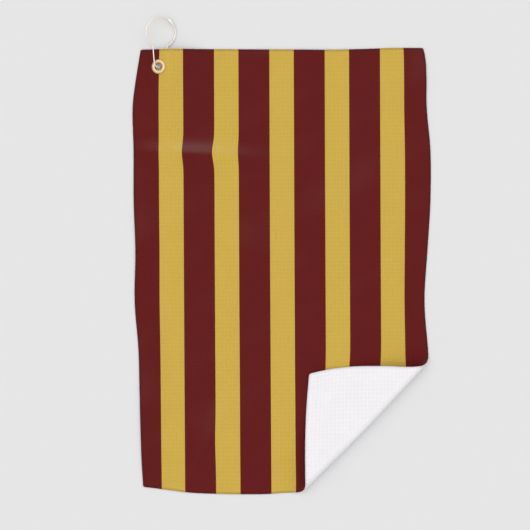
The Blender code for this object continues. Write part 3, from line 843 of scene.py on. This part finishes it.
def make_ring_wire(material):
    """The wire from the gate's pin over the top, down the front leg, through the grommet and up the
    back leg to the nose that the gate shuts against."""
    leg, joins_at = right_leg()
    left_leg = [Vector((-p.x, p.y, 0)) for p in leg]
    ahead = Vector((-math.sin(PIN_AT), math.cos(PIN_AT), 0))
    fork_root = PIN_AT + FORK_WIRE / ROUND_RADIUS
    path = arc(ROUND_CENTRE, ROUND_RADIUS, fork_root, math.pi - joins_at, 72)
    path += left_leg[-2::-1] + leg[1:]
    path += arc(ROUND_CENTRE, ROUND_RADIUS, joins_at, LATCH_AT + NOSE_SPARE, 12)[1:]
    body = wire_object("ring_wire", path, material)
    high = KNUCKLE_HEIGHT / 2
    slot = high - CHEEK
    pin = on_round(PIN_AT)
    fork = tab(pin, ahead, FORK_LENGTH, KNUCKLE_RADIUS)
    fork_slot = tab(pin, -ahead, SLOT_LENGTH, KNUCKLE_RADIUS + GAP)
    combine(
        body,
        (plate("fork", fork, -high, high, KNUCKLE_SOFT), "UNION"),
        (plate("fork_slot", fork_slot, -slot, slot), "DIFFERENCE"),
        (rod("pin_hole", pin, PIN_RADIUS + PIN_PLAY, -2 * high, 2 * high), "DIFFERENCE"),
        (plate("nose_cut", latch_zone(GAP, NEAR_SHARE), -WIRE, WIRE), "DIFFERENCE"),
    )
    finish_piece(body, "ring", "ring_body")


def make_gate(material):
    """The wire from the eye on the pin to the tip that laps behind the nose."""
    pin = on_round(PIN_AT)
    ahead = Vector((math.sin(PIN_AT), -math.cos(PIN_AT), 0))
    start = PIN_AT - (KNUCKLE_RADIUS + 2 * GAP) / ROUND_RADIUS
    path = arc(ROUND_CENTRE, ROUND_RADIUS, start, LATCH_AT - TIP_SPARE, 40)
    gate = wire_object("gate_wire", path, material)
    eye = tab(pin, ahead, NECK_LENGTH, EYE_RADIUS)
    combine(
        gate,
        (plate("tip_cut", latch_zone(0, FAR_SHARE), -WIRE, WIRE), "DIFFERENCE"),
        (plate("gate_eye", eye, EYE_LOW, EYE_HIGH, EYE_SOFT), "UNION"),
        (rod("eye_hole", pin, PIN_RADIUS + PIN_PLAY, -WIRE, WIRE), "DIFFERENCE"),
    )
    finish_piece(gate, "gate", "ring_gate")


def make_rivet(material, steps=40):
    """The gate's pin, with a low domed head on each side."""
    high = KNUCKLE_HEIGHT / 2
    half = [(radius, high + up) for radius, up in PIN_HEAD] + [(PIN_RADIUS, high)]
    profile = [*half, (PIN_RADIUS, 0.0), *((radius, -height) for radius, height in half[::-1])]
    centre = on_round(PIN_AT)
    inner = profile[1:-1]
    verts, faces = [], []
    for radius, height in inner:
        for i in range(steps):
            turn = math.tau * i / steps
            out = Vector((radius * math.cos(turn), radius * math.sin(turn), height))
            verts.append(centre + out)
    for k in range(len(inner) - 1):
        for i in range(steps):
            j = (i + 1) % steps
            faces.append((k * steps + i, (k + 1) * steps + i, (k + 1) * steps + j, k * steps + j))
    top, bottom = len(verts), len(verts) + 1
    verts += [centre + Vector((0, 0, height)) for _, height in (profile[0], profile[-1])]
    last = (len(inner) - 1) * steps
    for i in range(steps):
        j = (i + 1) % steps
        faces.append((top, i, j))
        faces.append((bottom, last + j, last + i))
    rivet = ring_object("gate_rivet", verts, faces, material)
    rivet.data.set_sharp_from_angle(angle=TURNED_SHARP)
    finish_piece(rivet, "ring", "gate_pin")


def make_spring(material):
    """A torsion coil round the pin with a straight tail at each end."""
    centre = on_round(PIN_AT)
    steps = round(SPRING_TURNS * SPRING_STEPS)
    bottom = SPRING_LOW + SPRING_WIRE / 2
    start = PIN_AT - math.pi / 4
    coil = []
    for i in range(steps + 1):
        turn = math.tau * SPRING_TURNS * i / steps
        at = Vector((math.cos(start + turn), math.sin(start + turn), 0)) * SPRING_RADIUS
        coil.append(centre + at + Vector((0, 0, bottom + SPRING_PITCH * turn / math.tau)))
    first = (coil[0] - coil[1]).normalized()
    last = (coil[-1] - coil[-2]).normalized()
    path = [coil[0] + first * SPRING_TAIL, *coil, coil[-1] + last * SPRING_TAIL]
    verts, faces, _ = sweep(path, SPRING_WIRE / 2, 12)
    spring = ring_object("torsion_spring", verts.tolist(), faces, material)
    finish_piece(spring, "ring", "gate_spring")


# ---------------------------------------------------------------- materials


class Shader:
    """A Principled material and short ways to add nodes to it."""

    def __init__(self, name):
        self.material = bpy.data.materials.new(name)
        self.material.use_nodes = True
        self.nodes = self.material.node_tree.nodes
        self.links = self.material.node_tree.links
        self.out = self.nodes["Principled BSDF"]

    def put(self, value, socket):
        """Sets an input to a number or a colour, or links it to another node's output."""
        if isinstance(value, bpy.types.NodeSocket):
            self.links.new(value, socket)
        elif isinstance(value, tuple) and len(value) == 3 and socket.type == "RGBA":
            socket.default_value = (*value, 1.0)
        else:
            socket.default_value = value

    def set(self, **inputs):
        for name, value in inputs.items():
            self.put(value, self.out.inputs[name.replace("_", " ")])

    def math(self, operation, *values):
        node = self.nodes.new("ShaderNodeMath")
        node.operation = operation
        for value, socket in zip(values, node.inputs):
            self.put(value, socket)
        return node.outputs[0]

    def stored(self, name, output="Vector"):
        node = self.nodes.new("ShaderNodeAttribute")
        node.attribute_name = name
        return node.outputs[output]

    def parts(self, vector):
        node = self.nodes.new("ShaderNodeSeparateXYZ")
        self.put(vector, node.inputs[0])
        return node.outputs

    def place(self):
        return self.nodes.new("ShaderNodeTexCoord").outputs["Object"]

    def noise(self, vector, scale, detail):
        node = self.nodes.new("ShaderNodeTexNoise")
        self.put(vector, node.inputs["Vector"])
        node.inputs["Scale"].default_value = scale
        node.inputs["Detail"].default_value = detail
        return node.outputs["Fac"]

    def stretched(self, vector, scale):
        node = self.nodes.new("ShaderNodeVectorMath")
        node.operation = "MULTIPLY"
        self.put(vector, node.inputs[0])
        node.inputs[1].default_value = scale
        return node.outputs[0]

    def span(self, value, low, high, to_low=0.0, to_high=1.0):
        node = self.nodes.new("ShaderNodeMapRange")
        node.interpolation_type = "SMOOTHSTEP"
        for socket, given in zip(node.inputs, (value, low, high, to_low, to_high)):
            self.put(given, socket)
        return node.outputs[0]

    def mix(self, factor, a, b, blend="MIX"):
        node = self.nodes.new("ShaderNodeMix")
        node.data_type = "RGBA"
        node.blend_type = blend
        self.put(factor, node.inputs[0])
        self.put(a, node.inputs[6])
        self.put(b, node.inputs[7])
        return node.outputs[2]

    def bump(self, height, distance, strength, normal=None):
        node = self.nodes.new("ShaderNodeBump")
        node.inputs["Distance"].default_value = distance
        node.inputs["Strength"].default_value = strength
        self.put(height, node.inputs["Height"])
        if normal:
            self.put(normal, node.inputs["Normal"])
        return node.outputs[0]


def print_colour(shader, flat):
    """The stripes, with the slight raggedness of dye on a fleecy yarn."""
    u = shader.parts(flat)[0]
    ragged = shader.math("SUBTRACT", shader.noise(flat, DYE_NOISE, 3.0), 0.5)
    at = shader.math("MULTIPLY_ADD", ragged, DYE_WANDER, u)
    from_stripe = shader.math("PINGPONG", at, STRIPE_PITCH / 2)
    edge = STRIPE_WIDTH / 2
    gold = shader.span(from_stripe, edge - DYE_EDGE, edge + DYE_EDGE, 1.0, 0.0)
    return shader.mix(gold, MAROON, GOLD)


def waffle_floor(shader, flat):
    """1 on the floor of a waffle cell, 0 on its ridges."""
    u, v, _ = shader.parts(flat)
    across = shader.span(shader.math("PINGPONG", u, CELL / 2), 0.0, RIDGE_FOOT * CELL)
    along = shader.span(shader.math("PINGPONG", v, CELL / 2), 0.0, RIDGE_FOOT * CELL)
    return shader.math("MULTIPLY", across, along)


def yarns(shader, flat):
    """The crossing yarns of the weave, from -1 between them to 1 where one lies on top, with the
    unevenness of a soft yarn."""
    u, v, _ = shader.parts(flat)
    uneven = shader.math("SUBTRACT", shader.noise(flat, YARN_NOISE, 2.0), 0.5)
    waves = []
    for at in (u, v):
        place = shader.math("MULTIPLY_ADD", uneven, 0.5 * YARN, at)
        waves.append(shader.math("SINE", shader.math("MULTIPLY", place, math.tau / (2 * YARN))))
    return shader.math("MULTIPLY", *waves)


def cloth_material():
    """Brushed microfibre in a waffle weave, printed on one side."""
    s = Shader("printed_waffle")
    flat = s.stored("flat")
    side = s.stored("side", "Fac")
    weave = yarns(s, flat)
    fibres = s.noise(flat, FIBRE_NOISE, 3.0)
    patches = s.noise(flat, PATCH_NOISE, 3.0)
    printed = s.mix(s.span(side, -0.2, 0.3), WHITE, print_colour(s, flat))
    # painted sheen: white mixed in where the cloth tilts towards the light at the top
    printed = s.mix(s.stored("slope_sheen_painted", "Fac"), printed, (1.0, 1.0, 1.0))
    shade = s.math("MULTIPLY_ADD", s.math("SUBTRACT", fibres, 0.5), FIBRE_SHADE, 1.0)
    shade = s.math("MULTIPLY_ADD", s.math("SUBTRACT", patches, 0.5), PATCH_SHADE, shade)
    # painted shade: lighter where a yarn lies on top, darker between the yarns
    shade = s.math("MULTIPLY_ADD", weave, PAINTED_WEAVE_SHADE, shade)
    # painted shade: the waffle cells' floors darker than their ridges
    shade = s.math("MULTIPLY_ADD", waffle_floor(s, flat), -PAINTED_CELL_SHADE, shade)
    s.set(Base_Color=s.mix(1.0, printed, shade, "MULTIPLY"))
    s.set(Roughness=s.span(fibres, 0.3, 0.7, 0.82, 1.0))
    s.set(Specular_IOR_Level=0.15, Sheen_Weight=0.12, Sheen_Roughness=0.5)
    s.set(Normal=s.bump(fibres, FIBRE_BUMP, 0.8, s.bump(weave, WEAVE_BUMP, 0.9)))
    return s.material


def thread_material():
    """Fluffy two-ply sewing thread, printed where it lies on the face."""
    s = Shader("overlock_thread")
    flat = s.stored("flat")
    side = s.stored("side", "Fac")
    length, turn, _ = s.parts(s.stored("thread"))
    twist = s.math("MULTIPLY", length, math.tau / PLY_TWIST)
    ply = s.math("SINE", s.math("MULTIPLY_ADD", turn, 2.0, twist))
    fibres = s.noise(s.place(), THREAD_NOISE, 3.0)
    printed = s.mix(s.span(side, 0.15, 0.75), WHITE, print_colour(s, flat))
    shade = s.math("MULTIPLY_ADD", fibres, 0.2, 0.9)
    # painted shade: lighter on each ply, darker in the groove between the two
    shade = s.math("MULTIPLY_ADD", ply, PAINTED_PLY_SHADE, shade)
    s.set(Base_Color=s.mix(1.0, printed, shade, "MULTIPLY"))
    s.set(Roughness=s.span(fibres, 0.3, 0.7, 0.6, 0.85))
    s.set(Specular_IOR_Level=0.25, Sheen_Weight=0.1, Sheen_Roughness=0.4)
    s.set(Normal=s.bump(fibres, FLUFF_BUMP, 0.5, s.bump(ply, PLY_BUMP, 0.8)))
    return s.material


def metal_material(name):
    """Polished plating with fine scratches, a slight orange peel and duller, browner patches."""
    colour, roughness, wear = METALS[name]
    s = Shader(name)
    place = s.place()
    patches = s.noise(place, TARNISH_NOISE, 4.0)
    peel = s.noise(place, PEEL_NOISE, 2.0)
    scratches = s.noise(s.stretched(place, SCRATCH_NOISE), 1.0, 2.0)
    dull = tuple(channel * left for channel, left in zip(colour, TARNISH))
    s.set(Base_Color=s.mix(s.span(patches, 0.52, 0.75, 0.0, wear), colour, dull))
    rough = s.math("MULTIPLY_ADD", s.span(scratches, 0.45, 0.75), 0.10, roughness)
    s.set(Roughness=s.math("MULTIPLY_ADD", s.span(patches, 0.45, 0.8), 0.12, rough))
    s.set(Metallic=1.0)
    s.set(Normal=s.bump(scratches, SCRATCH_BUMP, 0.4, s.bump(peel, PEEL_BUMP, 0.35)))
    return s.material


def floor_material():
    s = Shader("floor")
    grain = s.noise(s.place(), FLOOR_NOISE, 3.0)
    s.set(Base_Color=s.mix(s.span(grain, 0.3, 0.7), FLOOR, tuple(c * 0.995 for c in FLOOR)))
    s.set(Roughness=0.85, Specular_IOR_Level=0.2)
    return s.material


# ---------------------------------------------------------------- stage, light and camera


def make_stage():
    half = FLOOR_HALF
    corners = [(-half, -half, 0), (half, -half, 0), (half, half, 0), (-half, half, 0)]
    mesh = bpy.data.meshes.new("floor")
    mesh.from_pydata(corners, [], [(0, 1, 2, 3)])
    mesh.materials.append(floor_material())
    floor = add_object("floor", mesh)
    floor.location.z = -FLOOR_DROP


def make_light():
    """A large soft lamp up to the left, and a room that is bright overhead and dimmer round about."""
    sun = bpy.data.lights.new("key", "SUN")
    sun.energy = SUN_STRENGTH
    sun.angle = SUN_ANGLE
    lamp = add_object("key", sun)
    lamp.rotation_euler = SUN_FROM.to_track_quat("Z", "Y").to_euler()
    world = bpy.data.worlds.new("studio")
    bpy.context.scene.world = world
    world.use_nodes = True
    nodes, links = world.node_tree.nodes, world.node_tree.links
    direction = nodes.new("ShaderNodeTexCoord")
    split = nodes.new("ShaderNodeSeparateXYZ")
    ramp = nodes.new("ShaderNodeValToRGB")
    links.new(direction.outputs["Generated"], split.inputs[0])
    links.new(split.outputs["Z"], ramp.inputs[0])
    elements = ramp.color_ramp.elements
    elements.remove(elements[1])  # which leaves the one at 0
    for place, level in SKY:
        element = elements.new(place) if place else elements[0]
        element.color = (level, level, level * SKY_BLUE, 1)
    links.new(ramp.outputs[0], nodes["Background"].inputs[0])
    nodes["Background"].inputs[1].default_value = 1.0


def make_camera():
    data = bpy.data.cameras.new("camera")
    data.lens = LENS
    data.clip_end = VIEW_END
    camera = add_object("camera", data)
    camera.location = CLOTH_CENTRE + Vector((*VIEW_MIDDLE, VIEW_HEIGHT))
    bpy.context.scene.camera = camera


make_camera()
make_light()
make_stage()
bpy.context.scene.view_settings.view_transform = "Standard"

cloth = make_cloth(cloth_material())
threads = make_overlock(thread_material())
make_grommet(metal_material("polished_brass"))
gold_metal = metal_material("light_gold")
make_ring_wire(gold_metal)
make_gate(gold_metal)
make_rivet(gold_metal)
make_spring(metal_material("spring_steel"))
